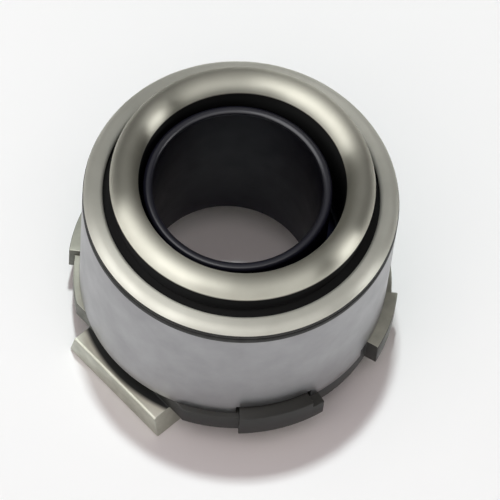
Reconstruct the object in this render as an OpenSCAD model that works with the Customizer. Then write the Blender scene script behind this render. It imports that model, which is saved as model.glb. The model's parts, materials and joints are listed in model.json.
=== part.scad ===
// Self-aligning clutch release bearing, standing on its two fork ears with the contact nose up.
// The bearing axis is Z, the fork ears lie on the X axis and all sizes are in millimetres.

/* [Guide sleeve] */
// Diameter of the bore that slides on the gearbox quill
sleeve_bore_d = 33.2; // [31:0.1:36]
// Wall of the sleeve's tube
sleeve_wall = 1.85; // [1.4:0.05:2.4]
// Length of the tube below its collar
sleeve_tail = 12.5; // [9:0.5:16]
// Height of the tube's end above the shell's rim
sleeve_proud = 2.7; // [0.5:0.1:3]
// Lead-in chamfer at both ends of the bore
sleeve_chamfer = 0.75; // [0.3:0.05:1.2]
// Width of the collar outside the tube
collar_w = 7; // [6:0.1:7.6]
// Thickness of the collar
collar_h = 1.8; // [1.2:0.1:3]
// Room all round the tube, in which the sleeve can slip sideways
float_gap = 1.85; // [1.7:0.05:2.4]
// How far the sleeve has slipped along the ears, as it lies
sleeve_shift_x = -0.6; // [-1.1:0.1:1.1]
// How far the sleeve has slipped across the ears, as it lies
sleeve_shift_y = 0.6; // [-1.1:0.1:1.1]

/* [Ball bearing] */
// Diameter of a ball
ball_d = 6; // [5.5:0.1:6.6]
// Number of balls
ball_count = 18; // [14:1:18]
// Height of the outer ring
ring_h = 16.1; // [15:0.1:20]
// Wall of the inner ring under the balls
inner_wall = 1.6; // [1.2:0.1:2.2]
// Wall of the outer ring behind the balls
outer_wall = 1.55; // [1.2:0.05:2.2]
// Depth of both raceway grooves
groove_depth = 1.4; // [1:0.1:1.6]
// Running play between a ball and each raceway
ball_play = 0.03; // [0.02:0.01:0.06]
// Radius of a raceway groove for each millimetre of ball diameter
groove_ratio = 0.52; // [0.515:0.005:0.54]
// Edge chamfer of the rings
ring_chamfer = 0.6; // [0.3:0.1:1]
// Space between the thrust washer and the inner ring
inner_lift = 1; // [0.5:0.1:2]

/* [Contact nose] */
// Radial width of the nose
nose_w = 5.6; // [5:0.1:6.2]
// Height of the crest's centre above the shell's rim
nose_rise = 4; // [2:0.1:6]
// How much narrower the flank is at its foot
nose_taper = 0.7; // [0:0.1:1]
// Space between the outer ring and the underside of the nose
nose_lift = 0.4; // [0.3:0.1:0.8]

/* [Cage and seals] */
// Play of a ball in its pocket
pocket_play = 0.15; // [0.1:0.05:0.25]
// Radial room between the cage and each ring's shoulder
cage_gap = 0.6; // [0.4:0.1:0.9]
// Height of the cage above the balls' centres
cage_crown = 4.5; // [4:0.1:4.6]
// Reach of the claws below the balls' centres
claw_reach = 1.2; // [0.8:0.1:1.6]
// Width of the relief slot between two claws
claw_slot = 0.8; // [0.5:0.1:1]
// Height of a seal
seal_h = 2; // [1.6:0.1:2.2]
// Thickness of a seal's web
seal_web = 1; // [0.6:0.1:1.4]
// How far a seal sits inside the ring's end face
seal_inset = 0.7; // [0.4:0.1:0.9]
// Depth of a seal's seat in the outer ring
seal_seat = 0.9; // [0.6:0.1:1.2]
// Gap between a seal's lip and the inner ring
lip_gap = 0.3; // [0.2:0.05:0.4]
// Width of a seal's lip
lip_w = 0.8; // [0.5:0.1:1.2]

/* [Shell] */
// Sheet thickness of the shell
shell_wall = 1.5; // [1.2:0.1:2]
// Outer radius of the corner between the rim and the side
rim_corner = 2.1; // [1.5:0.1:2.4]
// Width of the fine crease below the rim's corner
crease_w = 0.45; // [0.2:0.05:0.8]
// Depth of the crease
crease_depth = 0.35; // [0.1:0.05:0.6]
// Gap between the nose and the rim's edge
rim_gap = 1.2; // [0.8:0.1:1.4]
// Radial play of the parts that are pressed into the shell
press_gap = 0.05; // [0.02:0.01:0.08]
// Room above and beside a hub tab in its notch
notch_gap = 0.6; // [0.3:0.1:1.2]

/* [Spring stack] */
// Thickness of the thrust washer
washer_h = 1; // [0.8:0.1:1.6]
// Fitted height of the wave spring
spring_h = 2.6; // [1.8:0.1:3.4]
// Sheet thickness of the wave spring
spring_t = 0.6; // [0.4:0.05:0.8]
// Radial width of the wave spring
spring_w = 4; // [3:0.1:4.6]
// Number of waves
spring_waves = 4; // [3:1:6]
// Gap between a wave's crest and what it presses on
spring_gap = 0.05; // [0.03:0.01:0.08]

/* [Hub] */
// Thickness of the fork ears
ear_h = 6.3; // [5:0.1:8]
// Length of an ear's straight outer edge
ear_w = 24; // [20:0.5:26]
// How far an ear stands out past the shell
ear_proud = 1; // [0.5:0.1:3]
// How much further each end of an ear reaches at its foot
ear_flare = 1.2; // [0:0.1:2]
// Chamfer along an ear's outer edges
ear_chamfer = 0.3; // [0.2:0.1:1]
// Set-back of an ear's inner face from the recess in the hub
ear_setback = 0.8; // [0.5:0.1:1.5]
// Thickness of the flange that the shell stands on
flange_h = 4.5; // [3:0.1:6]
// How far the plain flange stays inside the shell's side
flange_lip = 0.2; // [0.1:0.1:0.6]
// How far the flats above the ears lie inside the shell's side
flat_inset = 3; // [2:0.1:3.4]
// How far the flange arcs stand out past the shell beside the flats
arc_proud = 1.2; // [0.6:0.1:2]
// Angle from an ear's axis to the far end of its longer flange arc
long_arc_end = 80.5; // [78:0.5:84]
// Angle from an ear's axis to the far end of its shorter flange arc
short_arc_end = 72.5; // [68:0.5:74]
// How far the tabs stand out past the shell
tab_proud = 2.4; // [1.5:0.1:3.5]
// Height of the tabs above the shell's lower edge
tab_rise = 1.8; // [1:0.1:3]
// Angle from an ear's axis to the near end of a tab
tab_start = 49.5; // [45:0.5:55]
// Angle from an ear's axis to the far end of a full tab
tab_end = 76; // [75:0.5:77]
// Height of the spigot inside the shell
spigot_h = 10.7; // [8:0.1:14]
// Radial wall of the spigot
spigot_wall = 3.85; // [2.5:0.05:4.5]
// Thickness of the ledge that carries the sleeve's collar
ledge_h = 3; // [2:0.1:5]
// Edge chamfer of the spigot
spigot_chamfer = 0.5; // [0.3:0.1:1]

/* [Hidden] */
$fn = 96;
// Overlap that joins solids of one piece and carries cuts through
bite = 0.5;
// Steps along one wave of the spring
wave_steps = 24;

// Radii, from the sleeve outwards
sleeve_bore_r = sleeve_bore_d / 2;
sleeve_r = sleeve_bore_r + sleeve_wall;
collar_r = sleeve_r + collar_w;
clear_r = sleeve_r + float_gap;
ball_r = ball_d / 2;
groove_r = ball_d * groove_ratio;
inner_race_r = clear_r + inner_wall;
pitch_r = inner_race_r + ball_r;
outer_race_r = pitch_r + ball_r;
inner_shoulder_r = inner_race_r + groove_depth;
outer_shoulder_r = outer_race_r - groove_depth;
outer_ring_r = outer_race_r + outer_wall;
seat_r = outer_shoulder_r + seal_seat;
shell_bore_r = outer_ring_r + press_gap;
shell_r = shell_bore_r + shell_wall;
nose_r = clear_r + nose_w;
crest_r = nose_w / 2;
rim_r = nose_r + rim_gap;
flange_r = shell_r - flange_lip;
flat_x = shell_r - flat_inset;
arc_r = shell_r + arc_proud;
tab_r = shell_r + tab_proud;
ear_r = shell_r + ear_proud;
spigot_r = shell_bore_r - press_gap;
recess_r = spigot_r - spigot_wall;
spring_out_r = collar_r - bite;
spring_in_r = spring_out_r - spring_w;

// Heights, from the ears' undersides up
flange_z = ear_h + flange_h;
ledge_z = flange_z + spigot_h;
collar_z = ledge_z + collar_h;
washer_z = collar_z + spring_h;
ring_z = washer_z + washer_h;
ring_top_z = ring_z + ring_h;
rim_z = ring_top_z + shell_wall;
ball_z = ring_z + ring_h / 2;
crest_z = rim_z + nose_rise;
nose_foot_z = ring_top_z + nose_lift;
sleeve_top_z = rim_z + sleeve_proud;
sleeve_foot_z = ledge_z - sleeve_tail;
tab_z = flange_z + tab_rise;
notch_angle = notch_gap / shell_r * 180 / PI;
spring_mid_z = collar_z + spring_h / 2;
spring_swing = spring_h / 2 - spring_gap - spring_t / 2;

function ball_name(i) = str("ball_", i < 10 ? "0" : "", i);

// A block bent round the axis, from one angle to another
module sector(r_in, r_out, z_low, z_high, a_from, a_to) {
    rotate([0, 0, a_from])
        rotate_extrude(angle = a_to - a_from)
            translate([r_in, z_low])
                square([r_out - r_in, z_high - z_low]);
}

// The same shape in all four quarters round the axis
module each_quarter() {
    for (x = [0, 1], y = [0, 1])
        mirror([x, 0, 0])
            mirror([0, y, 0])
                children();
}

// Outline of an ear seen from outside, wider at its foot, with a root inside the flange
module ear_outline() {
    half_w = ear_w / 2;
    foot_w = half_w + ear_flare;
    polygon([
        [-foot_w, 0],
        [foot_w, 0],
        [half_w, ear_h],
        [half_w, ear_h + bite],
        [-half_w, ear_h + bite],
        [-half_w, ear_h],
    ]);
}

// Section of an ear along its reach, with chamfered outer edges and a root inside the flange
module ear_section() {
    polygon([
        [recess_r - bite, 0],
        [ear_r - ear_chamfer, 0],
        [ear_r, ear_chamfer],
        [ear_r, ear_h - ear_chamfer],
        [ear_r - ear_chamfer, ear_h],
        [flat_x - bite, ear_h],
        [flat_x - bite, ear_h + bite],
        [recess_r - bite, ear_h + bite],
    ]);
}

// Flat ear that one finger of the clutch fork pushes on, hollowed round the recess
module fork_ear() {
    difference() {
        intersection() {
            rotate([90, 0, 90])
                linear_extrude(ear_r + bite)
                    ear_outline();
            rotate([90, 0, 0])
                linear_extrude(ear_w + 2 * ear_flare + 2 * bite, center = true)
                    ear_section();
        }
        translate([0, 0, -bite])
            cylinder(r = recess_r + ear_setback, h = ear_h + 3 * bite);
    }
}

// Section of the hub's spigot, with the inward ledge at its top
module spigot_section() {
    polygon([
        [recess_r, ear_h],
        [spigot_r, ear_h],
        [spigot_r, ledge_z - spigot_chamfer],
        [spigot_r - spigot_chamfer, ledge_z],
        [clear_r + spigot_chamfer, ledge_z],
        [clear_r, ledge_z - spigot_chamfer],
        [clear_r, ledge_z - ledge_h],
        [recess_r, ledge_z - ledge_h],
    ]);
}

// Room about the X axis that is taken off the flange, outside a radius and above a floor
module valley(half_angle, r, floor_z) {
    reach = 2 * tab_r;
    half_w = reach * tan(half_angle);
    difference() {
        translate([0, 0, ear_h - bite])
            linear_extrude(tab_z - ear_h + 2 * bite)
                polygon([[0, 0], [reach, -half_w], [reach, half_w]]);
        cylinder(r = r, h = floor_z);
    }
}

// Room above an ear, from its flat outwards and up to a height
module flat_room(top_z) {
    translate([flat_x, -tab_r, ear_h - bite])
        cube([tab_r, 2 * tab_r, top_z - ear_h + bite]);
}

// Flange with a flat above each ear, arcs on either side of it and four tabs that key the shell
module flange() {
    gap_mid = 90 + (long_arc_end - short_arc_end) / 2;
    gap_half = 90 - (long_arc_end + short_arc_end) / 2;
    difference() {
        sector(recess_r + bite, tab_r, ear_h, tab_z, 0, 360);
        for (turn = [0, 180])
            rotate([0, 0, turn]) {
                valley(tab_start, arc_r, flange_z);
                flat_room(tab_z + bite);
                rotate([0, 0, 90])
                    valley(90 - tab_end, tab_r + bite, flange_z);
                rotate([0, 0, gap_mid])
                    valley(gap_half, flange_r, tab_z + 2 * bite);
            }
    }
}

// Spigot inside the shell, with the flats carried on below the shell's edge
module spigot() {
    difference() {
        rotate_extrude()
            spigot_section();
        for (turn = [0, 180])
            rotate([0, 0, turn])
                flat_room(flange_z);
    }
}

// Carrier that the fork pushes on and that holds the shell
module hub() {
    color("silver")
        union() {
            flange();
            spigot();
            for (turn = [0, 180])
                rotate([0, 0, turn])
                    fork_ear();
        }
}

// Section of the drawn shell: creased side, rounded corner and turned-in rim with a round edge
module shell_section() {
    corner_z = rim_z - rim_corner;
    edge_r = shell_wall / 2;
    edge_x = rim_r + edge_r;
    difference() {
        union() {
            translate([shell_bore_r, flange_z])
                square([shell_wall, rim_z - flange_z]);
            translate([edge_x, rim_z - shell_wall])
                square([shell_r - edge_x, shell_wall]);
        }
        translate([shell_r - rim_corner, corner_z])
            difference() {
                square(rim_corner + bite);
                circle(rim_corner);
            }
        translate([shell_r - crease_depth, corner_z - crease_w])
            square([crease_depth + bite, crease_w]);
    }
    translate([edge_x, rim_z - edge_r])
        circle(edge_r);
}

// Drawn steel shell, notched where the hub's tabs pass through its lower edge
module shell() {
    color("lightgray")
        difference() {
            rotate_extrude()
                shell_section();
            each_quarter()
                sector(
                    shell_bore_r - bite, shell_r + bite,
                    flange_z - bite, tab_z + notch_gap,
                    tab_start - notch_angle, tab_end + notch_angle
                );
        }
}

// Section of the sleeve: tube with chamfered bore ends and a flat collar
module sleeve_section() {
    polygon([
        [sleeve_bore_r, sleeve_foot_z + sleeve_chamfer],
        [sleeve_bore_r + sleeve_chamfer, sleeve_foot_z],
        [sleeve_r, sleeve_foot_z],
        [sleeve_r, ledge_z],
        [collar_r, ledge_z],
        [collar_r, collar_z],
        [sleeve_r, collar_z],
        [sleeve_r, sleeve_top_z],
        [sleeve_bore_r + sleeve_chamfer, sleeve_top_z],
        [sleeve_bore_r, sleeve_top_z - sleeve_chamfer],
    ]);
}

// Black resin sleeve, lying where it has slipped to
module guide_sleeve() {
    color("#26262c")
        translate([sleeve_shift_x, sleeve_shift_y, 0])
            rotate_extrude()
                sleeve_section();
}

// Height of the spring's middle surface at an angle
function wave_z(angle) = spring_mid_z + spring_swing * cos(spring_waves * angle);

// The four corners of the spring's section at an angle
function wave_ring(angle) = [
    for (corner = [[spring_in_r, -1], [spring_out_r, -1], [spring_out_r, 1], [spring_in_r, 1]])
        [corner[0] * cos(angle), corner[0] * sin(angle), wave_z(angle) + corner[1] * spring_t / 2]
];

// Wavy washer that clamps the sleeve's collar on the hub's ledge
module wave_spring() {
    steps = spring_waves * wave_steps;
    points = [for (i = [0:steps - 1]) each wave_ring(360 * i / steps)];
    faces = [
        for (i = [0:steps - 1], side = [0:3])
            let (
                here = 4 * i,
                ahead = 4 * ((i + 1) % steps),
                next_side = (side + 1) % 4
            )
            each [
                [here + side, here + next_side, ahead + next_side],
                [here + side, ahead + next_side, ahead + side],
            ]
    ];
    color("slategray")
        translate([sleeve_shift_x, 0, 0])
            polyhedron(points, faces);
}

// Flat ring that carries the outer ring and takes the spring's push
module thrust_washer() {
    color("gray")
        translate([0, 0, washer_z])
            difference() {
                cylinder(r = outer_ring_r, h = washer_h);
                translate([0, 0, -bite])
                    cylinder(r = spring_in_r, h = washer_h + 2 * bite);
            }
}

// Section of the outer ring, with seats for both seals and the raceway groove
module outer_ring_section() {
    seat_depth = seal_inset + seal_h;
    difference() {
        polygon([
            [seat_r, ring_z],
            [outer_ring_r - ring_chamfer, ring_z],
            [outer_ring_r, ring_z + ring_chamfer],
            [outer_ring_r, ring_top_z - ring_chamfer],
            [outer_ring_r - ring_chamfer, ring_top_z],
            [seat_r, ring_top_z],
            [seat_r, ring_top_z - seat_depth],
            [outer_shoulder_r, ring_top_z - seat_depth],
            [outer_shoulder_r, ring_z + seat_depth],
            [seat_r, ring_z + seat_depth],
        ]);
        translate([outer_race_r + ball_play - groove_r, ball_z])
            circle(groove_r);
    }
}

// Fixed ring of the ball bearing
module outer_ring() {
    color("lightsteelblue")
        rotate_extrude()
            outer_ring_section();
}

// Section of the inner ring, with the raceway groove and the half-round nose
module inner_ring_section() {
    foot_z = ring_z + inner_lift;
    difference() {
        polygon([
            [clear_r + ring_chamfer, foot_z],
            [inner_shoulder_r - ring_chamfer, foot_z],
            [inner_shoulder_r, foot_z + ring_chamfer],
            [inner_shoulder_r, nose_foot_z],
            [nose_r - nose_taper, nose_foot_z],
            [nose_r, crest_z],
            [clear_r, crest_z],
            [clear_r, foot_z + ring_chamfer],
        ]);
        translate([inner_race_r - ball_play + groove_r, ball_z])
            circle(groove_r);
    }
    translate([clear_r + crest_r, crest_z])
        intersection() {
            circle(crest_r);
            translate([-crest_r, -bite])
                square([nose_w, crest_r + bite]);
        }
}

// Turning ring whose polished nose the clutch's spring fingers press on
module inner_ring() {
    color("gainsboro")
        rotate_extrude()
            inner_ring_section();
}

// Crown cage: round pockets open at the bottom, with a slot between neighbouring claws
module cage() {
    cage_in = inner_shoulder_r + cage_gap;
    cage_out = outer_shoulder_r - cage_gap;
    cage_low = ball_z - claw_reach;
    step = 360 / ball_count;
    color("tan")
        difference() {
            sector(cage_in, cage_out, cage_low, ball_z + cage_crown, 0, 360);
            for (i = [1:ball_count])
                rotate([0, 0, i * step])
                    translate([pitch_r, 0, ball_z])
                        sphere(ball_r + pocket_play);
            for (i = [1:ball_count])
                rotate([0, 0, (i + 0.5) * step])
                    translate([cage_in - bite, -claw_slot / 2, cage_low - bite])
                        cube([cage_out - cage_in + 2 * bite, claw_slot, claw_reach + 2 * bite]);
        }
}

// Section of a seal seen from its outer face: rim in the seat, thin web and a full-height lip
module seal_section() {
    rim_w = seat_r - press_gap - outer_shoulder_r;
    lip_r = inner_shoulder_r + lip_gap;
    translate([outer_shoulder_r, -seal_h])
        square([rim_w, seal_h]);
    translate([lip_r, -seal_web])
        square([outer_shoulder_r - lip_r + rim_w, seal_web]);
    translate([lip_r, -seal_h])
        square([lip_w, seal_h]);
}

// Seal on the nose side, seen as the black gap inside the rim
module front_seal() {
    color("black")
        translate([0, 0, ring_top_z - seal_inset])
            rotate_extrude()
                seal_section();
}

// Seal on the hub side
module rear_seal() {
    color("black")
        translate([0, 0, ring_z + seal_inset])
            mirror([0, 0, 1])
                rotate_extrude()
                    seal_section();
}

// One ball, at its place round the pitch circle
module ball(i) {
    color("whitesmoke")
        rotate([0, 0, i * 360 / ball_count])
            translate([pitch_r, 0, ball_z])
                sphere(ball_r);
}

hub();
shell();
guide_sleeve();
wave_spring();
thrust_washer();
outer_ring();
inner_ring();
cage();
front_seal();
rear_seal();
for (i = [1:ball_count])
    ball(i);
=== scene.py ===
"""Looks of a self-aligning clutch release bearing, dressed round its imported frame.

The part stands on its two fork ears with the bearing axis upright. Sizes in the classes are in
millimetres, and every mesh is written in metres.
"""

import json
import logging
import math
from dataclasses import dataclass
from enum import Enum

import bmesh
import bpy
from mathutils import Matrix, Vector

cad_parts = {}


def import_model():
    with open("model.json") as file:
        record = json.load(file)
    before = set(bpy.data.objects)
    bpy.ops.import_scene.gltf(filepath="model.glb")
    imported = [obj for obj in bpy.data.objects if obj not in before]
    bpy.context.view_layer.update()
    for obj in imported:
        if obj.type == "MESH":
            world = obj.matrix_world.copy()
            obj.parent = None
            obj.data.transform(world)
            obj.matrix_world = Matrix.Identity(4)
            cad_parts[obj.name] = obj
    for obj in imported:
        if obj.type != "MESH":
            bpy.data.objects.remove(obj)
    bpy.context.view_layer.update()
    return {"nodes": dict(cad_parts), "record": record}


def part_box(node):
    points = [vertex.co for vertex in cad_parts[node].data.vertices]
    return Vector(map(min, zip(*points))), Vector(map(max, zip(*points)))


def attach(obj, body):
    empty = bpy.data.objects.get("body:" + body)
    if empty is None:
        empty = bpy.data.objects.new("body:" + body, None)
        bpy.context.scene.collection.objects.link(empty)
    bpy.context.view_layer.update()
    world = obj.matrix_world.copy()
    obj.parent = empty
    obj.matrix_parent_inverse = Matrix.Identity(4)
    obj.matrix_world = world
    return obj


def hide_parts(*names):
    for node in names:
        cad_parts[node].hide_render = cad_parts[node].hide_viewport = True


LOG = logging.getLogger("release_bearing")
MM = 0.001
UP = Vector((0, 0, 1))
FULL_TURN = 2 * math.pi
# One step of a full turn, fine enough for smooth reflections on a polished ring
TURN_STEPS = 240
# One step of a small rounded corner in a section
ARC_STEP_DEG = 7.5
# Points closer than this are one point
WELD = 0.002 * MM
# Faces that meet at more than this angle have a sharp edge between them
SHARP_DEG = 32
# Share of the noise's range that the soft patches of a finish spread over
PATCH_RANGE = (0.3, 0.7)
# Width of a drawn side's lines as a share of their length
LINE_SQUEEZE = 0.03
# Middle of the painted shade at the hub's front, across the bearing axis, in millimetres
FRONT_SHADE_AT = (-17.5, -28.0)


class Body(Enum):
    """The moving bodies of the frame that new pieces ride on."""

    CARRIER = "carrier"
    SLEEVE = "sleeve"
    CONTACT_RING = "contact_ring"


class Slot(Enum):
    """The record's material slots."""

    PLATED_STEEL = "plated_steel"
    DRAWN_STEEL = "drawn_steel"
    BLACK_RESIN = "black_resin"
    POLISHED_STEEL = "polished_steel"


def linear(hex_colour: str) -> tuple[float, float, float, float]:
    """Turns an sRGB hex colour to linear light.

    Args:
        hex_colour: Six hex digits after a number sign.

    Returns:
        Red, green, blue and a full alpha.
    """
    shares = [int(hex_colour[i : i + 2], 16) / 255 for i in (1, 3, 5)]
    light = [s / 12.92 if s <= 0.04045 else ((s + 0.055) / 1.055) ** 2.4 for s in shares]
    return (*light, 1.0)


def per_mm(size_mm: float) -> float:
    """Gives a pattern's scale from the real size of one of its features.

    Args:
        size_mm: The feature's size, in millimetres.

    Returns:
        How many of the features fit in a metre.
    """
    return 1 / (size_mm * MM)


def add_node(
    tree: bpy.types.NodeTree,
    kind: str,
    inputs: dict | None = None,
    **settings: object,
) -> bpy.types.Node:
    """Adds one node to a tree, with its settings and links.

    Args:
        tree: The node tree.
        kind: The node's type name.
        inputs: A value, or the output socket to link, for each input's name or index.
        settings: The node's own properties.

    Returns:
        The node.
    """
    node = tree.nodes.new(kind)
    for name, value in settings.items():
        setattr(node, name, value)
    for key, value in (inputs or {}).items():
        if isinstance(value, bpy.types.NodeSocket):
            tree.links.new(value, node.inputs[key])
        else:
            node.inputs[key].default_value = value
    return node


class Lay(Enum):
    """Which way the fine lines of a metal surface run, as a turn of the shader's tangent."""

    ROUND = 0.25
    UPRIGHT = 0.0


@dataclass(frozen=True)
class Finish:
    """A surface finish: one procedural material, named for what the real surface is.

    Attributes:
        name: The material's name.
        colour: Main colour, as sRGB hex.
        shade: Colour of the darker patches.
        roughness: Lowest and highest roughness over the patches.
        metallic: 1 for bare metal, 0 for resin and rubber.
        patch_mm: Size of the patches.
        grain_mm: Size of the finest relief.
        relief_mm: Depth of the finest relief.
        gloss: How strongly a surface that isn't bare metal shines, from 0 to 1.
    """

    name: str
    colour: str
    shade: str
    roughness: tuple[float, float]
    metallic: float = 1.0
    patch_mm: float = 6.0
    grain_mm: float = 0.4
    relief_mm: float = 0.004
    gloss: float = 0.5

    def material(self) -> bpy.types.Material:
        """Builds the finish's material once and gives it again when asked.

        Returns:
            The material.
        """
        known = bpy.data.materials.get(self.name)
        if known:
            return known
        made = bpy.data.materials.new(self.name)
        made.use_nodes = True
        tree = made.node_tree
        tree.nodes.clear()
        shader = add_node(
            tree,
            "ShaderNodeBsdfPrincipled",
            {"Metallic": self.metallic, "Specular IOR Level": self.gloss},
        )
        place = add_node(tree, "ShaderNodeTexCoord").outputs["Object"]
        self.paint(tree, shader, place)
        add_node(tree, "ShaderNodeOutputMaterial", {"Surface": shader.outputs[0]})
        return made

    def paint(
        self, tree: bpy.types.NodeTree, shader: bpy.types.Node, place: bpy.types.NodeSocket
    ) -> None:
        """Links the patches, the roughness and the relief to the shader.

        Args:
            tree: The material's node tree.
            shader: The principled shader.
            place: Object coordinates.
        """
        patches = self.patches(tree, place)
        tint = add_node(
            tree,
            "ShaderNodeMix",
            {0: patches, 6: linear(self.shade), 7: linear(self.colour)},
            data_type="RGBA",
        )
        rough = add_node(
            tree,
            "ShaderNodeMapRange",
            {"Value": patches, "To Min": self.roughness[1], "To Max": self.roughness[0]},
        )
        bump = add_node(
            tree,
            "ShaderNodeBump",
            {"Height": self.relief(tree, place), "Distance": self.relief_mm * MM},
        )
        tree.links.new(tint.outputs[2], shader.inputs["Base Color"])
        tree.links.new(rough.outputs[0], shader.inputs["Roughness"])
        tree.links.new(bump.outputs[0], shader.inputs["Normal"])

    def patches(
        self, tree: bpy.types.NodeTree, place: bpy.types.NodeSocket
    ) -> bpy.types.NodeSocket:
        """Gives soft patches from 0 to 1.

        Args:
            tree: The material's node tree.
            place: Object coordinates.

        Returns:
            The patches' output socket.
        """
        noise = add_node(
            tree,
            "ShaderNodeTexNoise",
            {"Vector": place, "Scale": per_mm(self.patch_mm), "Detail": 4.0, "Roughness": 0.55},
        )
        low, high = PATCH_RANGE
        spread = add_node(
            tree,
            "ShaderNodeMapRange",
            {"Value": noise.outputs[0], "From Min": low, "From Max": high},
        )
        return spread.outputs[0]

    def relief(
        self, tree: bpy.types.NodeTree, place: bpy.types.NodeSocket
    ) -> bpy.types.NodeSocket:
        """Gives the height of the finest relief, an even grain.

        Args:
            tree: The material's node tree.
            place: Object coordinates.

        Returns:
            The relief's output socket.
        """
        noise = add_node(
            tree,
            "ShaderNodeTexNoise",
            {"Vector": place, "Scale": per_mm(self.grain_mm), "Detail": 2.0},
        )
        return noise.outputs[0]


@dataclass(frozen=True)
class LinedMetal(Finish):
    """Metal with fine lines that run one way, which draw its highlights out across them.

    Attributes:
        lay: Which way the lines run.
        draw_out: How far the highlights are drawn out, from 0 to 1.
        line_mm: Spacing of the lines that show.
    """

    lay: Lay = Lay.ROUND
    draw_out: float = 0.6
    line_mm: float = 0.25

    def paint(
        self, tree: bpy.types.NodeTree, shader: bpy.types.Node, place: bpy.types.NodeSocket
    ) -> None:
        """Adds the lines' direction round the axis to the plain finish.

        Args:
            tree: The material's node tree.
            shader: The principled shader.
            place: Object coordinates.
        """
        super().paint(tree, shader, place)
        around = add_node(
            tree, "ShaderNodeVectorMath", {0: tuple(UP), 1: place}, operation="CROSS_PRODUCT"
        )
        turned = add_node(
            tree,
            "ShaderNodeVectorTransform",
            {"Vector": around.outputs[0]},
            vector_type="VECTOR",
            convert_from="OBJECT",
            convert_to="WORLD",
        )
        tree.links.new(turned.outputs[0], shader.inputs["Tangent"])
        shader.inputs["Anisotropic"].default_value = self.draw_out
        shader.inputs["Anisotropic Rotation"].default_value = self.lay.value

    def relief(
        self, tree: bpy.types.NodeTree, place: bpy.types.NodeSocket
    ) -> bpy.types.NodeSocket:
        """Gives the height of the lines.

        Args:
            tree: The material's node tree.
            place: Object coordinates.

        Returns:
            The relief's output socket.
        """
        if self.lay is Lay.UPRIGHT:
            stretched = add_node(
                tree, "ShaderNodeMapping", {"Vector": place, "Scale": (1, 1, LINE_SQUEEZE)}
            )
            lines = add_node(
                tree,
                "ShaderNodeTexNoise",
                {"Vector": stretched.outputs[0], "Scale": per_mm(self.line_mm), "Detail": 3.0},
            )
            return lines.outputs[0]
        flat = add_node(tree, "ShaderNodeMapping", {"Vector": place, "Scale": (1, 1, 0)})
        radius = add_node(
            tree, "ShaderNodeVectorMath", {0: flat.outputs[0]}, operation="LENGTH"
        ).outputs["Value"]
        height = add_node(tree, "ShaderNodeSeparateXYZ", {0: place}).outputs["Z"]
        along = add_node(tree, "ShaderNodeMath", {0: radius, 1: height}, operation="ADD")
        lines = add_node(
            tree,
            "ShaderNodeTexNoise",
            {"W": along.outputs[0], "Scale": per_mm(self.line_mm), "Detail": 3.0},
            noise_dimensions="1D",
        )
        return lines.outputs[0]


def overlay(
    tree: bpy.types.NodeTree,
    shader: bpy.types.Node,
    bare: bpy.types.NodeSocket,
    colour: str,
    roughness: float,
) -> None:
    """Lays a dull colour over the metal that a shader already has, such as the plates' painted
    shade.

    Args:
        tree: The material's node tree.
        shader: The principled shader, with its colour and roughness linked.
        bare: Share of the metal that stays bare, from 0 to 1.
        colour: The laid colour, as sRGB hex.
        roughness: Its roughness.
    """
    under = {name: shader.inputs[name].links[0].from_socket for name in ("Base Color", "Roughness")}
    tint = add_node(
        tree,
        "ShaderNodeMix",
        {0: bare, 6: linear(colour), 7: under["Base Color"]},
        data_type="RGBA",
    )
    rough = add_node(tree, "ShaderNodeMix", {0: bare, 2: roughness, 3: under["Roughness"]})
    metal = add_node(
        tree,
        "ShaderNodeMath",
        {0: bare, 1: shader.inputs["Metallic"].default_value},
        operation="MULTIPLY",
    )
    tree.links.new(tint.outputs[2], shader.inputs["Base Color"])
    tree.links.new(rough.outputs[0], shader.inputs["Roughness"])
    tree.links.new(metal.outputs[0], shader.inputs["Metallic"])


@dataclass(frozen=True)
class ShadePaintedPlate(Finish):
    """A plated face with painted shade on a round area of it.

    Attributes:
        painted_shade: Colour of the painted shade, as sRGB hex.
        shade_centre: Middle of the painted shade's area, across the bearing axis.
        shade_r: Radius of the painted shade's area.
        soft_mm: Width over which the painted shade fades out.
    """

    painted_shade: str = "#0B0B0A"
    shade_centre: tuple[float, float] = (0.0, 0.0)
    shade_r: float = 31.3
    soft_mm: float = 1.2

    def paint(
        self, tree: bpy.types.NodeTree, shader: bpy.types.Node, place: bpy.types.NodeSocket
    ) -> None:
        """Lays the painted shade over the plate.

        Args:
            tree: The material's node tree.
            shader: The principled shader.
            place: Object coordinates.
        """
        super().paint(tree, shader, place)
        x, y = self.shade_centre
        flat = add_node(
            tree,
            "ShaderNodeMapping",
            {"Vector": place, "Location": (-x * MM, -y * MM, 0), "Scale": (1, 1, 0)},
        )
        radius = add_node(tree, "ShaderNodeVectorMath", {0: flat.outputs[0]}, operation="LENGTH")
        bare = add_node(
            tree,
            "ShaderNodeMapRange",
            {
                "Value": radius.outputs["Value"],
                "From Min": (self.shade_r - self.soft_mm / 2) * MM,
                "From Max": (self.shade_r + self.soft_mm / 2) * MM,
            },
            interpolation_type="SMOOTHSTEP",
        )
        # Darkens the round area with the painted shade colour
        overlay(tree, shader, bare.outputs[0], self.painted_shade, self.roughness[1])


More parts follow.
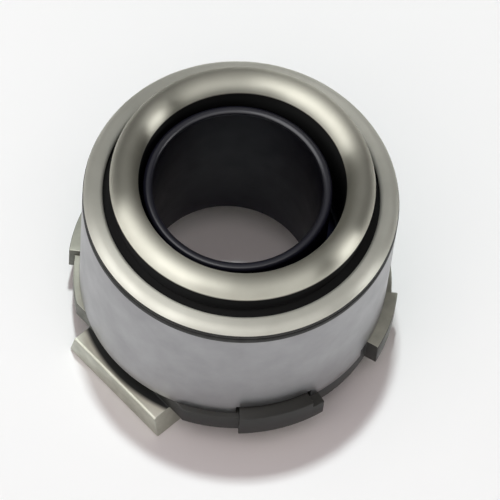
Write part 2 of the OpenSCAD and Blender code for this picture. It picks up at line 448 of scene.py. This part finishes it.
@dataclass(frozen=True)
class TwoZoneMetal(LinedMetal):
    """Lined metal whose lower part has another colour, with a soft change at one height.

    Attributes:
        low_colour: Colour of the lower part, as sRGB hex.
        low_roughness: Roughness of the lower part, which is not bare metal.
        change_mm: Height of the change.
        soft_mm: Height over which it changes.
    """

    low_colour: str = "#101012"
    low_roughness: float = 0.5
    change_mm: float = 48.0
    soft_mm: float = 0.6

    def paint(
        self, tree: bpy.types.NodeTree, shader: bpy.types.Node, place: bpy.types.NodeSocket
    ) -> None:
        """Puts the lower zone over the lined metal.

        Args:
            tree: The material's node tree.
            shader: The principled shader.
            place: Object coordinates.
        """
        super().paint(tree, shader, place)
        height = add_node(tree, "ShaderNodeSeparateXYZ", {0: place}).outputs["Z"]
        upper = add_node(
            tree,
            "ShaderNodeMapRange",
            {
                "Value": height,
                "From Min": (self.change_mm - self.soft_mm / 2) * MM,
                "From Max": (self.change_mm + self.soft_mm / 2) * MM,
            },
            interpolation_type="SMOOTHSTEP",
        ).outputs[0]
        overlay(tree, shader, upper, self.low_colour, self.low_roughness)


# Deep-drawn low-carbon steel sheet: satin grey side, with faint upright lines from the die
DRAWN_STEEL = LinedMetal(
    "drawn_steel_side",
    colour="#9D9D9F",
    shade="#939395",
    roughness=(0.36, 0.42),
    patch_mm=7.0,
    relief_mm=0.003,
    lay=Lay.UPRIGHT,
    draw_out=0.35,
    line_mm=0.5,
)
# The same sheet where the rim was spun over and wiped: warmer, with rings round the axis
SPUN_RIM = LinedMetal(
    "drawn_steel_rim",
    colour="#E6E5DA",
    shade="#DAD9CE",
    roughness=(0.44, 0.5),
    metallic=0.8,
    patch_mm=9.0,
    relief_mm=0.003,
    draw_out=0.9,
    line_mm=0.3,
)
# Ground and polished bearing steel nose on a ring that is near black and dull below one height
POLISHED_STEEL = TwoZoneMetal(
    "polished_nose_steel",
    colour="#E4E2D4",
    shade="#DCDACC",
    roughness=(0.38, 0.41),
    patch_mm=8.0,
    relief_mm=0.0012,
    gloss=0.15,
    draw_out=1.0,
    line_mm=0.2,
    low_colour="#060607",
    low_roughness=0.6,
    change_mm=48.6,
)
# Painted shade: a near-black band along the crease below the rim and over the lower part of the
# corner
CREASE_PAINTED_SHADE = Finish(
    "painted_shade_in_crease",
    colour="#20201D",
    shade="#161614",
    roughness=(0.55, 0.7),
    metallic=0.0,
    patch_mm=2.0,
)
# Zinc-plated steel: bright, a little cream, with soft cloudy patches, and painted shade on the
# ears' tops under the shell's overhang
ZINC_PLATE_SHADED = ShadePaintedPlate(
    "zinc_plate_shaded_under_shell",
    colour="#ECEEDF",
    shade="#DADCCB",
    roughness=(0.3, 0.4),
    metallic=0.3,
    patch_mm=4.0,
    relief_mm=0.004,
)
# The ears' sheared sides, duller than the rolled faces
SHEARED_EDGE = Finish(
    "sheared_plated_edge",
    colour="#C2C4B8",
    shade="#AEB0A4",
    roughness=(0.38, 0.5),
    metallic=0.6,
    patch_mm=3.0,
    relief_mm=0.01,
)
# The flange's rolled faces: plating dulled by handling, with painted shade at the front
DULL_PLATE_SHADED = ShadePaintedPlate(
    "dulled_plate_front_shade",
    colour="#C0C2B4",
    shade="#AAACA0",
    roughness=(0.34, 0.46),
    metallic=0.5,
    patch_mm=3.0,
    painted_shade="#2B2B27",
    shade_centre=FRONT_SHADE_AT,
    shade_r=21.0,
    soft_mm=10.0,
)
# The flange's upright outer faces: a darker copy of the plate as painted shade, with more painted
# shade at the front
SHADED_EDGE = ShadePaintedPlate(
    "plated_edge_painted_shade",
    colour="#6E6F66",
    shade="#56574F",
    roughness=(0.4, 0.55),
    metallic=0.6,
    patch_mm=3.0,
    relief_mm=0.01,
    painted_shade="#1E1E1C",
    shade_centre=FRONT_SHADE_AT,
    shade_r=31.0,
    soft_mm=12.0,
)
# Black glass-filled nylon, moulded: satin, with a faint blue tone
BLACK_RESIN = Finish(
    "black_nylon",
    colour="#12121D",
    shade="#0E0E18",
    roughness=(0.4, 0.48),
    metallic=0.0,
    patch_mm=5.0,
    grain_mm=0.5,
    gloss=0.08,
)
# The same nylon on the sleeve's lip, which is rubbed smooth and shines more
RUBBED_RESIN = Finish(
    "rubbed_nylon",
    colour="#15151F",
    shade="#11111A",
    roughness=(0.28, 0.36),
    metallic=0.0,
    patch_mm=5.0,
    grain_mm=0.5,
    gloss=0.9,
)
# Moulded nitrile rubber: dull black
SEAL_RUBBER = Finish(
    "nitrile_rubber",
    colour="#121212",
    shade="#0E0E0E",
    roughness=(0.6, 0.7),
    metallic=0.0,
    patch_mm=3.0,
)
# Through-hardened chrome steel, ground and lapped
BEARING_STEEL = LinedMetal(
    "ground_bearing_steel",
    colour="#C9CACC",
    shade="#BFC0C3",
    roughness=(0.12, 0.2),
    relief_mm=0.001,
    draw_out=0.4,
)
# Hardened and tempered spring strip, with a dull blue-grey heat tint
SPRING_STRIP = Finish(
    "tempered_spring_strip",
    colour="#7E848C",
    shade="#6C7078",
    roughness=(0.3, 0.42),
    patch_mm=5.0,
)
# Natural glass-filled nylon, moulded: pale tan
CAGE_RESIN = Finish(
    "natural_nylon",
    colour="#C2AE86",
    shade="#B49F78",
    roughness=(0.4, 0.5),
    metallic=0.0,
    patch_mm=3.0,
)
# Matt white card under the part
PALE_CARD = Finish(
    "pale_card",
    colour="#F4F4F4",
    shade="#F2F2F2",
    roughness=(0.8, 0.9),
    metallic=0.0,
    patch_mm=60.0,
    grain_mm=3.0,
    relief_mm=0.0,
)


class Turning:
    """A turned shape: a section drawn beside an upright axis, then spun round it."""

    def __init__(self, r: float, z: float, axis: Vector | None = None) -> None:
        """Starts the section at a point.

        Args:
            r: Distance from the axis, in millimetres.
            z: Height, in millimetres.
            axis: A point on the axis, in metres; the part's own axis if left out.
        """
        self.axis = axis or Vector()
        self.mesh = bmesh.new()
        self.start = self.mesh.verts.new(self.point(r, z))
        self.tip = self.start

    def point(self, r: float, z: float) -> Vector:
        """Gives a point of the section.

        Args:
            r: Distance from the axis, in millimetres.
            z: Height, in millimetres.

        Returns:
            The point, in metres.
        """
        return self.axis + Vector((r, 0, z)) * MM

    def line(self, *points: tuple[float, float]) -> "Turning":
        """Draws straight lines on from the tip.

        Args:
            points: Distance from the axis and height of each corner, in millimetres.

        Returns:
            The turning itself.
        """
        for r, z in points:
            made = bmesh.ops.extrude_vert_indiv(self.mesh, verts=[self.tip])
            self.tip = made["verts"][0]
            self.tip.co = self.point(r, z)
        return self

    def arc(self, r: float, z: float, degrees: float) -> "Turning":
        """Draws an arc on from the tip.

        Args:
            r: Distance of the arc's centre from the axis, in millimetres.
            z: Height of the arc's centre, in millimetres.
            degrees: Turn of the arc, clockwise with the axis on the left.

        Returns:
            The turning itself.
        """
        made = bmesh.ops.spin(
            self.mesh,
            geom=[self.tip],
            cent=self.point(r, z),
            axis=(0, 1, 0),
            angle=math.radians(degrees),
            steps=max(2, round(abs(degrees) / ARC_STEP_DEG)),
        )
        self.tip = next(g for g in made["geom_last"] if isinstance(g, bmesh.types.BMVert))
        return self

    def close(self) -> "Turning":
        """Joins the tip to the start.

        Returns:
            The turning itself.
        """
        self.mesh.edges.new((self.tip, self.start))
        return self

    def spin(self) -> bmesh.types.BMesh:
        """Spins the section one full turn.

        Returns:
            The closed mesh, with its faces pointing outwards.
        """
        bmesh.ops.spin(
            self.mesh,
            geom=self.mesh.verts[:] + self.mesh.edges[:],
            cent=self.axis,
            axis=UP,
            angle=FULL_TURN,
            steps=TURN_STEPS,
            use_merge=True,
        )
        return tidied(self.mesh)


def tidied(mesh: bmesh.types.BMesh) -> bmesh.types.BMesh:
    """Merges the mesh's double points and points its faces outwards.

    Args:
        mesh: The mesh.

    Returns:
        The same mesh.
    """
    bmesh.ops.remove_doubles(mesh, verts=mesh.verts[:], dist=WELD)
    bmesh.ops.recalc_face_normals(mesh, faces=mesh.faces[:])
    return mesh


def sharp_edges(mesh: bmesh.types.BMesh) -> list[bmesh.types.BMEdge]:
    """Finds the edges where two faces meet at a sharp angle.

    Args:
        mesh: The mesh.

    Returns:
        The edges.
    """
    limit = math.radians(SHARP_DEG)
    return [e for e in mesh.edges if len(e.link_faces) == 2 and e.calc_face_angle() > limit]


def soften(mesh: bmesh.types.BMesh, radius: float, segments: int = 2) -> None:
    """Rounds every sharp edge of a mesh.

    Args:
        mesh: The mesh.
        radius: Width of the rounding, in millimetres.
        segments: Faces across the rounding.
    """
    bmesh.ops.bevel(
        mesh,
        geom=sharp_edges(mesh),
        offset=radius * MM,
        offset_type="OFFSET",
        segments=segments,
        profile=0.5,
        affect="EDGES",
        clamp_overlap=True,
        material=-1,
    )


def finished(name: str, mesh: bmesh.types.BMesh, *finishes: Finish) -> bpy.types.Object:
    """Makes an object of a mesh, with smooth faces between its sharp edges.

    Args:
        name: The piece's name.
        mesh: The mesh, which is freed.
        finishes: Its finishes, in the order of the faces' material numbers.

    Returns:
        The object.
    """
    for face in mesh.faces:
        face.smooth = True
    for edge in sharp_edges(mesh):
        edge.smooth = False
    data = bpy.data.meshes.new(name)
    mesh.to_mesh(data)
    mesh.free()
    for finish in finishes:
        data.materials.append(finish.material())
    piece = bpy.data.objects.new(name, data)
    bpy.context.scene.collection.objects.link(piece)
    return piece


def seat(piece: bpy.types.Object, body: Body, node: str) -> None:
    """Puts a piece on its body in the place of a node.

    Args:
        piece: The piece.
        body: The body that it rides on.
        node: The node that it stands for.
    """
    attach(piece, body.value)
    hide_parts(node)
    LOG.info("%s: %d faces on %s", piece.name, len(piece.data.polygons), body.value)


@dataclass
class Shell:
    """The drawn steel shell, with a turned-in rim and four notches in its lower edge.

    Attributes:
        wall: Sheet thickness.
        corner: Outer radius between the rim and the side.
        crease_w: Width of the fine crease below the corner.
        crease_depth: Depth of the crease.
        shade_below: Height of the painted shade below the crease.
        shade_over: Height of the painted shade above the crease, on the corner.
        rim_gap: Space between the nose and the rim's edge.
        notch_top: Height of the notches above the lower edge.
        notch_start: Angle from an ear's axis to the near side of a notch, in degrees.
        notch_end: Angle from an ear's axis to the far side of a notch, in degrees.
        edge: Rounding of the cut edges.
        guard: Height of the row of faces that keeps the shading above the notches even.
    """

    wall: float = 1.5
    corner: float = 2.1
    crease_w: float = 0.45
    crease_depth: float = 0.35
    shade_below: float = 1.1
    shade_over: float = 0.7
    rim_gap: float = 1.2
    notch_top: float = 2.4
    notch_start: float = 48.39
    notch_end: float = 77.11
    edge: float = 0.18
    guard: float = 0.5

    def __post_init__(self) -> None:
        """Takes the outer sizes from the frame."""
        low, high = (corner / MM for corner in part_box("shell"))
        self.low_z = low.z
        self.rim_z = high.z
        self.r = high.x
        self.rim_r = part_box("inner_ring")[1].x / MM + self.rim_gap

    def section(self) -> Turning:
        """Draws the shell's section, from the lower edge up the outside and down the inside.

        Returns:
            The closed section.
        """
        inner_r = self.r - self.wall
        notch_z = self.low_z + self.notch_top
        under_z = self.rim_z - self.wall
        round_r = self.wall / 2
        guard_z = notch_z + self.guard
        corner_z = self.rim_z - self.corner
        crease_z = corner_z - self.crease_w
        crease_r = self.r - self.crease_depth
        shade_z = crease_z - self.shade_below
        turning = Turning(self.r, self.low_z)
        turning.line((self.r, notch_z), (self.r, guard_z), (self.r, shade_z), (self.r, crease_z))
        turning.line((crease_r, crease_z), (crease_r, corner_z), (self.r, corner_z))
        turning.arc(self.r - self.corner, corner_z, -90)
        turning.line((self.rim_r + round_r, self.rim_z))
        turning.arc(self.rim_r + round_r, self.rim_z - round_r, -180)
        turning.line(
            (inner_r, under_z), (inner_r, guard_z), (inner_r, notch_z), (inner_r, self.low_z)
        )
        return turning.close()

    def build(self) -> bpy.types.Object:
        """Spins the wall between the notches' sides, cuts the notches and rounds their edges.

        Returns:
            The shell.
        """
        mesh = self.section().mesh
        plain, notch = 2 * self.notch_start, self.notch_end - self.notch_start
        bridge = 180 - 2 * self.notch_end
        sectors = [(plain, False), (notch, True), (bridge, False), (notch, True)] * 2
        bmesh.ops.rotate(
            mesh, verts=mesh.verts[:], matrix=Matrix.Rotation(-math.radians(plain / 2), 3, "Z")
        )
        ring = mesh.verts[:] + mesh.edges[:]
        notched = []
        for width, cut in sectors:
            before = set(mesh.faces)
            made = bmesh.ops.spin(
                mesh,
                geom=ring,
                cent=(0, 0, 0),
                axis=UP,
                angle=math.radians(width),
                steps=round(width / 360 * TURN_STEPS),
            )
            ring = made["geom_last"]
            if cut:
                notched += [f for f in mesh.faces if f not in before]
        self.open_notches(mesh, notched)
        tidied(mesh)
        self.line_notches(mesh)
        soften(mesh, self.edge)
        self.sort_faces(mesh)
        return finished("shell_cover", mesh, DRAWN_STEEL, SPUN_RIM, CREASE_PAINTED_SHADE)

    def sort_faces(self, mesh: bmesh.types.BMesh) -> None:
        """Numbers the faces by finish: 0 for the side, 1 for the rim, 2 for the painted shade along
        the crease.

        Args:
            mesh: The shell's mesh.
        """
        rim_low = self.rim_z - self.corner
        shade_low = rim_low - self.crease_w - self.shade_below
        for face in mesh.faces:
            middle = face.calc_center_median() / MM
            outside = middle.xy.length > self.r - self.wall / 2
            # Faces round the crease take the near-black painted shade
            shaded = outside and shade_low < middle.z < rim_low + self.shade_over
            face.material_index = 2 if shaded else int(middle.z > rim_low)

    def open_notches(self, mesh: bmesh.types.BMesh, faces: list[bmesh.types.BMFace]) -> None:
        """Takes the notches' faces off the wall.

        Args:
            mesh: The shell's mesh.
            faces: The faces of the notches' sectors.
        """
        top = (self.low_z + self.notch_top) * MM
        low = [f for f in faces if f.calc_center_median().z < top - WELD]
        bmesh.ops.delete(mesh, geom=low, context="FACES")

    def line_notches(self, mesh: bmesh.types.BMesh) -> None:
        """Closes the wall along the top and the sides of every notch.

        Args:
            mesh: The shell's mesh.
        """
        top = (self.low_z + self.notch_top) * MM
        open_edges = [e for e in mesh.edges if e.is_boundary]
        level = [e for e in open_edges if all(abs(v.co.z - top) < WELD for v in e.verts)]
        for quarter in range(4):
            chain = [e for e in level if self.quarter(e) == quarter]
            bmesh.ops.bridge_loops(mesh, edges=chain)
        bmesh.ops.holes_fill(mesh, edges=[e for e in mesh.edges if e.is_boundary], sides=0)
        bmesh.ops.recalc_face_normals(mesh, faces=mesh.faces[:])

    @staticmethod
    def quarter(edge: bmesh.types.BMEdge) -> int:
        """Gives the quarter round the axis that an edge lies in.

        Args:
            edge: An edge of the shell.

        Returns:
            The quarter's number, from 0 to 3.
        """
        middle = (edge.verts[0].co + edge.verts[1].co) / 2
        return 2 * int(middle.x > 0) + int(middle.y > 0)


@dataclass
class InnerRing:
    """The turning ring with the half-round nose that the clutch's fingers press on.

    Attributes:
        nose_w: Radial width of the nose.
        taper: How much narrower the flank is at its foot.
        nose_foot_z: Height of the nose's underside.
        shoulder: Wall from the bore to the raceway's shoulder.
        chamfer: Edge chamfer at the foot.
        groove_r: Radius of the raceway groove.
        groove_at: Distance of the groove's centre from the axis.
        ball_z: Height of the balls' centres.
        edge: Rounding of the edges.
    """

    nose_w: float = 5.6
    taper: float = 0.7
    nose_foot_z: float = 43.4
    shoulder: float = 3.0
    chamfer: float = 0.6
    groove_r: float = 3.12
    groove_at: float = 24.99
    ball_z: float = 34.95
    edge: float = 0.15

    def build(self) -> bpy.types.Object:
        """Turns the ring.

        Returns:
            The ring.
        """
        low, high = (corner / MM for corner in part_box("inner_ring"))
        bore_r = high.x - self.nose_w
        crest_r = self.nose_w / 2
        crest_z = high.z - crest_r
        shoulder_r = bore_r + self.shoulder
        reach = self.groove_at - shoulder_r
        half_groove = math.acos(reach / self.groove_r)
        groove_h = self.groove_r * math.sin(half_groove)
        turning = Turning(bore_r, crest_z)
        turning.arc(bore_r + crest_r, crest_z, 180)
        turning.line(
            (high.x - self.taper, self.nose_foot_z),
            (shoulder_r, self.nose_foot_z),
            (shoulder_r, self.ball_z + groove_h),
        )
        turning.arc(self.groove_at, self.ball_z, -2 * math.degrees(half_groove))
        turning.line(
            (shoulder_r, low.z + self.chamfer),
            (shoulder_r - self.chamfer, low.z),
            (bore_r + self.chamfer, low.z),
            (bore_r, low.z + self.chamfer),
        )
        mesh = turning.close().spin()
        soften(mesh, self.edge)
        return finished("contact_nose_ring", mesh, POLISHED_STEEL)


@dataclass
class GuideSleeve:
    """The black resin sleeve, on its own axis where it has slipped to.

    Attributes:
        wall: Wall of the tube, whose upper lip is worn round.
        chamfer: Lead-in chamfer at the bore's foot.
        collar_low: Height of the collar's underside.
        collar_h: Thickness of the collar.
        edge: Rounding of the edges.
    """

    wall: float = 1.85
    chamfer: float = 0.75
    collar_low: float = 21.5
    collar_h: float = 1.8
    edge: float = 0.15

    def build(self, bore_r: float) -> bpy.types.Object:
        """Turns the sleeve.

        Args:
            bore_r: Radius of the guide bore, in millimetres.

        Returns:
            The sleeve.
        """
        low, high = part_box("guide_sleeve")
        middle = (low + high) / 2
        axis = Vector((middle.x, middle.y, 0))
        collar_r = (high.x - middle.x) / MM
        foot_z, top_z = low.z / MM, high.z / MM
        tube_r = bore_r + self.wall
        lead_r = bore_r + self.chamfer
        collar_z = self.collar_low + self.collar_h
        lip_r = self.wall / 2
        turning = Turning(bore_r, foot_z + self.chamfer, axis)
        turning.line((bore_r, top_z - lip_r))
        turning.arc(bore_r + lip_r, top_z - lip_r, 180)
        turning.line(
            (tube_r, collar_z),
            (collar_r, collar_z),
            (collar_r, self.collar_low),
            (tube_r, self.collar_low),
            (tube_r, foot_z),
            (lead_r, foot_z),
        )
        mesh = turning.close().spin()
        soften(mesh, self.edge)
        for face in mesh.faces:
            face.material_index = int(face.calc_center_median().z > (top_z - lip_r) * MM)
        return finished("guide_tube", mesh, BLACK_RESIN, RUBBED_RESIN)


@dataclass
class Hub:
    """The plated carrier with the fork ears, arcs and tabs.

    Attributes:
        edge: Rounding of its edges.
        flat_deg: Faces closer than this angle are one flat face.
        rim_low: Height above which its upright edge is the flange's.
        rim_r: Distance from the axis beyond which its upright edge is the flange's.
        steep: A face is upright if its normal points up or down by less than this share.
    """

    edge: float = 0.2
    flat_deg: float = 0.5
    rim_low: float = 6.4
    rim_r: float = 27.5
    steep: float = 0.5

    def build(self, node: bpy.types.Object) -> bpy.types.Object:
        """Rounds the edges of a merged copy of the hub.

        Args:
            node: The hub's node.

        Returns:
            The hub.
        """
        mesh = bmesh.new()
        mesh.from_mesh(node.data)
        bmesh.ops.remove_doubles(mesh, verts=mesh.verts[:], dist=WELD)
        bmesh.ops.dissolve_limit(
            mesh,
            angle_limit=math.radians(self.flat_deg),
            verts=mesh.verts[:],
            edges=mesh.edges[:],
        )
        for face in mesh.faces:
            face.material_index = self.finish_number(face)
        soften(mesh, self.edge, segments=3)
        return finished("hub_carrier", mesh, ZINC_PLATE_SHADED, SHEARED_EDGE, DULL_PLATE_SHADED, SHADED_EDGE)

    def finish_number(self, face: bmesh.types.BMFace) -> int:
        """Gives the number of a face's finish: 0 and 1 on the ears, 2 and 3 on the flange.

        Args:
            face: A face of the hub.

        Returns:
            An even number for a level face or one inside, an odd number for an upright outer one.
        """
        middle = face.calc_center_median() / MM
        # Upright outer faces take a darker copy; on the flange that copy is painted shade
        upright = abs(face.normal.z) < self.steep and middle.xy.length > self.rim_r
        return 2 * int(middle.z > self.rim_low) + int(upright)


@dataclass
class InnerPieces:
    """The pieces that keep their solids and only get a finish."""

    def dress(self, nodes: dict[str, bpy.types.Object]) -> None:
        """Gives every kept node its finish.

        Args:
            nodes: The frame's nodes by name.
        """
        finishes = {
            "outer_ring": BEARING_STEEL,
            "front_seal": SEAL_RUBBER,
            "rear_seal": SEAL_RUBBER,
            "cage": CAGE_RESIN,
            "thrust_washer": SPRING_STRIP,
            "wave_spring": SPRING_STRIP,
        }
        finishes.update({name: BEARING_STEEL for name in nodes if name.startswith("ball_")})
        for name, finish in finishes.items():
            nodes[name].data.materials.clear()
            nodes[name].data.materials.append(finish.material())
            LOG.info("%s: kept, in %s", name, finish.name)


@dataclass(frozen=True)
class Softbox:
    """A flat studio light that faces the part.

    Attributes:
        name: The light's name.
        bearing: Direction round the part from the camera's side, right-hand side first, in degrees.
        elevation: Height above the floor, in degrees.
        size: Width and height, in metres.
        distance: Distance from the part, in metres.
        power: Power, in watts.
        mirrored: Whether polished metal shows it.
        spread: Whether it also lights the floor and other dull surfaces.
        tint: Colour of its light.
    """

    name: str
    bearing: float
    elevation: float
    size: tuple[float, float]
    distance: float
    power: float
    mirrored: bool = True
    spread: bool = True
    tint: str = "#FFFFFF"


@dataclass
class Studio:
    """The pale floor, the soft lights and the camera at the photograph's angle.

    Attributes:
        azimuth: Camera's direction round the part, in degrees.
        elevation: Camera's height above the floor, in degrees.
        roll: Lean of the picture, in degrees.
        distance: Camera's distance from the middle of the rim, in metres.
        lens: Focal length, in millimetres.
        sensor: Width of the camera's sensor, in millimetres.
        clip: Nearest and farthest distance that the camera sees, in metres.
        image_px: Side of the square picture.
        rim_px: Where the middle of the rim lies in the picture.
        floor_half: Half of the floor's side, in metres.
        lights: The softboxes.
        room: Colour of the room between the softboxes.
        backdrop: Colour behind the part in a level view.
    """

    azimuth: float = -48.0
    elevation: float = 60.27
    roll: float = 6.09
    distance: float = 0.81
    lens: float = 299.3
    sensor: float = 36.0
    clip: tuple[float, float] = (0.05, 50.0)
    image_px: float = 500.0
    rim_px: tuple[float, float] = (241.7, 193.2)
    floor_half: float = 1.0
    lights: tuple[Softbox, ...] = (
        Softbox("left_panel", 300, 43, (1.2, 1.15), 0.9, 8.4, spread=False),
        Softbox("right_panel", 86, 20, (0.28, 0.55), 0.9, 1.4, spread=False),
        Softbox("front_fill", 25, 40, (1.1, 0.9), 0.9, 2.8, spread=False),
        Softbox("top_fill", 180, 86, (1.7, 1.7), 1.1, 2.6),
        Softbox("wide_fill", 345, 66, (1.7, 1.7), 1.3, 9.6, mirrored=False, tint="#FFEDED"),
        Softbox("shadow_key", 195, 78.5, (0.06, 0.06), 1.0, 6.7, mirrored=False, tint="#F6FFFF"),
    )
    room: str = "#33322F"
    backdrop: str = "#EDEDED"

    def direction(self, azimuth: float, elevation: float) -> Vector:
        """Gives the direction from the part towards an azimuth and elevation.

        Args:
            azimuth: Angle round the part from its front, in degrees.
            elevation: Angle above the floor, in degrees.

        Returns:
            A vector of length 1.
        """
        a, e = math.radians(azimuth), math.radians(elevation)
        return Vector((math.sin(a) * math.cos(e), -math.cos(a) * math.cos(e), math.sin(e)))

    def set_camera(self, rim_z: float) -> None:
        """Places the camera so that the middle of the rim lies on its pixel.

        Args:
            rim_z: Height of the rim, in millimetres.
        """
        middle = Vector((0, 0, rim_z * MM))
        back = self.direction(self.azimuth, self.elevation)
        level = UP.cross(back).normalized()
        upright = back.cross(level)
        lean = math.radians(self.roll)
        right = level * math.cos(lean) + upright * math.sin(lean)
        top = back.cross(right)
        data = bpy.data.cameras.new("photo_camera")
        data.lens = self.lens
        data.sensor_width = self.sensor
        metres_per_px = self.distance * self.sensor / self.lens / self.image_px
        offset_x = self.image_px / 2 - self.rim_px[0]
        offset_y = self.image_px / 2 - self.rim_px[1]
        aim = middle + (right * offset_x - top * offset_y) * metres_per_px
        eye = middle + back * self.distance
        towards = (eye - aim).normalized()
        right = (right - towards * right.dot(towards)).normalized()
        top = towards.cross(right)
        camera = bpy.data.objects.new("photo_camera", data)
        turn = Matrix((right, top, towards)).transposed().to_4x4()
        camera.matrix_world = Matrix.Translation(eye) @ turn
        data.clip_start, data.clip_end = self.clip
        bpy.context.scene.collection.objects.link(camera)
        bpy.context.scene.camera = camera

    def hang_lights(self, aim_z: float) -> None:
        """Hangs the softboxes round the part.

        Args:
            aim_z: Height that they face, in millimetres.
        """
        aim = Vector((0, 0, aim_z * MM))
        for box in self.lights:
            data = bpy.data.lights.new(box.name, "AREA")
            data.shape = "RECTANGLE"
            data.size, data.size_y = box.size
            data.energy = box.power
            data.color = linear(box.tint)[:3]
            way = self.direction(self.azimuth + box.bearing, box.elevation)
            light = bpy.data.objects.new(box.name, data)
            turn = way.to_track_quat("Z", "Y").to_matrix().to_4x4()
            light.matrix_world = Matrix.Translation(aim + way * box.distance) @ turn
            light.visible_glossy = box.mirrored
            light.visible_diffuse = box.spread
            bpy.context.scene.collection.objects.link(light)

    def lay_floor(self) -> None:
        """Lays the pale floor at the level of the ears' undersides."""
        mesh = bmesh.new()
        bmesh.ops.create_grid(mesh, x_segments=1, y_segments=1, size=self.floor_half)
        finished("floor", mesh, PALE_CARD)

    def fill_light(self) -> None:
        """Fills the room with an even grey, and puts a pale backdrop behind the part."""
        world = bpy.data.worlds.new("studio")
        bpy.context.scene.world = world
        world.use_nodes = True
        tree = world.node_tree
        tree.nodes.clear()
        room = add_node(tree, "ShaderNodeBackground", {"Color": linear(self.room)})
        backdrop = add_node(tree, "ShaderNodeBackground", {"Color": linear(self.backdrop)})
        seen = add_node(tree, "ShaderNodeLightPath").outputs["Is Camera Ray"]
        sky = add_node(
            tree, "ShaderNodeMixShader", {0: seen, 1: room.outputs[0], 2: backdrop.outputs[0]}
        )
        add_node(tree, "ShaderNodeOutputWorld", {"Surface": sky.outputs[0]})

    def build(self, rim_z: float) -> None:
        """Builds the whole studio.

        Args:
            rim_z: Height of the rim, in millimetres.
        """
        bpy.context.scene.view_settings.view_transform = "Standard"
        self.set_camera(rim_z)
        self.hang_lights(rim_z)
        self.lay_floor()
        self.fill_light()


def main() -> None:
    """Builds the bearing's pieces in order, then the studio."""
    logging.basicConfig(level=logging.INFO, format="%(name)s %(message)s")
    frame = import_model()
    mounts = {mount["name"]: mount for mount in frame["record"]["mounts"]}
    shell = Shell()
    seat(shell.build(), Body.CARRIER, "shell")
    seat(InnerRing().build(), Body.CONTACT_RING, "inner_ring")
    sleeve = GuideSleeve().build(bore_r=mounts["guide_bore"]["dims"]["r_mm"])
    seat(sleeve, Body.SLEEVE, "guide_sleeve")
    seat(Hub().build(frame["nodes"]["hub"]), Body.CARRIER, "hub")
    InnerPieces().dress(frame["nodes"])
    Studio().build(shell.rim_z)


if __name__ == "__main__":
    main()
